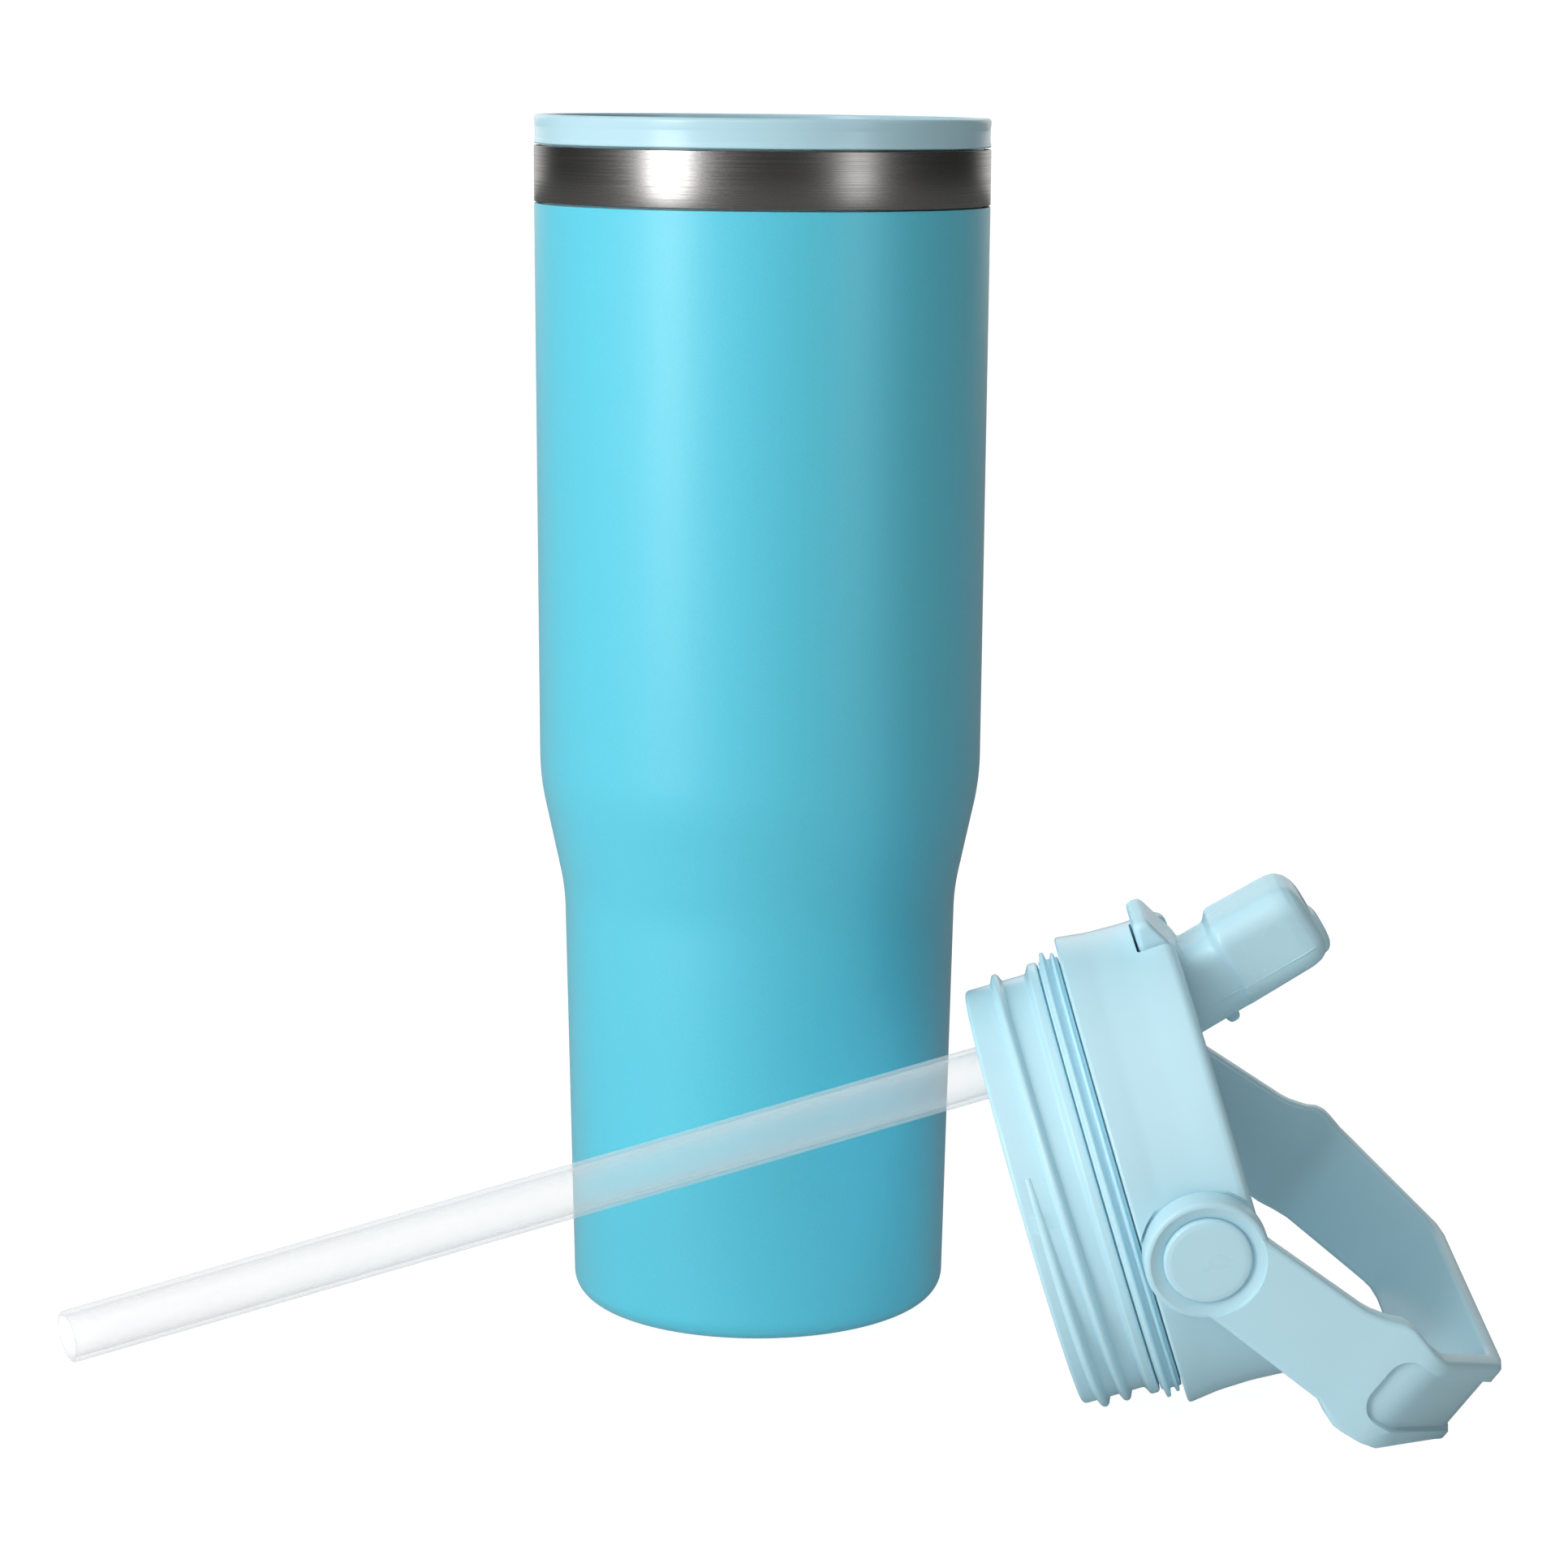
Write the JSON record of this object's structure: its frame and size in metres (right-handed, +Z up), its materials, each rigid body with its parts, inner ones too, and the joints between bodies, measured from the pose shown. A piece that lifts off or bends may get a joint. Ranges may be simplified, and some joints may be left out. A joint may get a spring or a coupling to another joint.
{
  "type": "insulated straw bottle",
  "caption": "Double-wall steel drinking bottle standing open beside its screw lid, which has a flip spout, a swinging carry handle and a straw.",
  "frame": {"origin": "centre of the underside of the standing bottle, on the floor", "axes": "+Z up the bottle's axis, +X toward the lid lying beside it, -Y toward the side the straw crosses"},
  "size_m": [0.2527, 0.1498, 0.2247],
  "materials": {
    "powder_coat_blue": "satin powder coat",
    "brushed_neck_steel": "brushed round the neck",
    "liner_steel": "electropolished",
    "collar_plastic": "smooth moulded",
    "base_rubber": "matte",
    "seal_silicone": "matte silicone",
    "base_cup_steel": "as pressed",
    "port_solder_glass": "fused glass",
    "getter_alloy": "sintered",
    "lid_plastic": "semi-gloss moulded",
    "inner_plate_plastic": "smooth moulded",
    "gasket_silicone": "matte silicone",
    "valve_silicone": "matte silicone",
    "spout_plastic": "semi-gloss moulded",
    "nozzle_silicone": "soft silicone",
    "handle_plastic": "semi-gloss moulded",
    "cap_plastic": "semi-gloss moulded",
    "pin_steel": "ground",
    "washer_nylon": "moulded nylon",
    "straw_plastic": "frosted translucent"
  },
  "bodies": {
    "bottle": {"outer_shell": "powder_coat_blue", "neck_band": "brushed_neck_steel", "inner_liner": "liner_steel", "threaded_collar": "collar_plastic", "collar_seal": "seal_silicone", "base_cup": "base_cup_steel", "vacuum_port_plug": "port_solder_glass", "getter": "getter_alloy", "base_pad": "base_rubber"},
    "lid": {"lid_body": "lid_plastic", "lid_inner_plate": "inner_plate_plastic", "lid_gasket": "gasket_silicone", "straw_socket": "inner_plate_plastic", "vent_valve": "valve_silicone", "spout_port_seal": "seal_silicone", "pivot_pin_near": "pin_steel", "pivot_pin_far": "pin_steel", "pivot_cap_near": "cap_plastic", "pivot_cap_far": "cap_plastic", "spout_pin_near": "pin_steel", "spout_pin_far": "pin_steel"},
    "handle": {"handle": "handle_plastic", "friction_washer_near": "washer_nylon", "friction_washer_far": "washer_nylon"},
    "spout": {"spout": "spout_plastic", "spout_nozzle": "nozzle_silicone"},
    "straw": {"straw": "straw_plastic"}
  },
  "joints": [
    {"name": "lid_pick_up", "type": "slide", "parent": "bottle", "child": "lid", "axis": [0, 0, 1], "range_m": [0, 0.1]},
    {"name": "handle_swing", "type": "hinge", "parent": "lid", "child": "handle", "pos_m": [0.07374, -0.06071, 0.04498], "axis": [-0.0176, 0.9926, 0.1199], "range_deg": [-53.3, 48.7]},
    {"name": "spout_flip", "type": "hinge", "parent": "lid", "child": "spout", "pos_m": [0.06588, -0.06397, 0.07081], "axis": [-0.0176, 0.9926, 0.1199], "range_deg": [0, 105]},
    {"name": "straw_pull", "type": "slide", "parent": "lid", "child": "straw", "axis": [-0.9561, 0.0184, -0.2924], "range_m": [0, 0.012]}
  ]
}
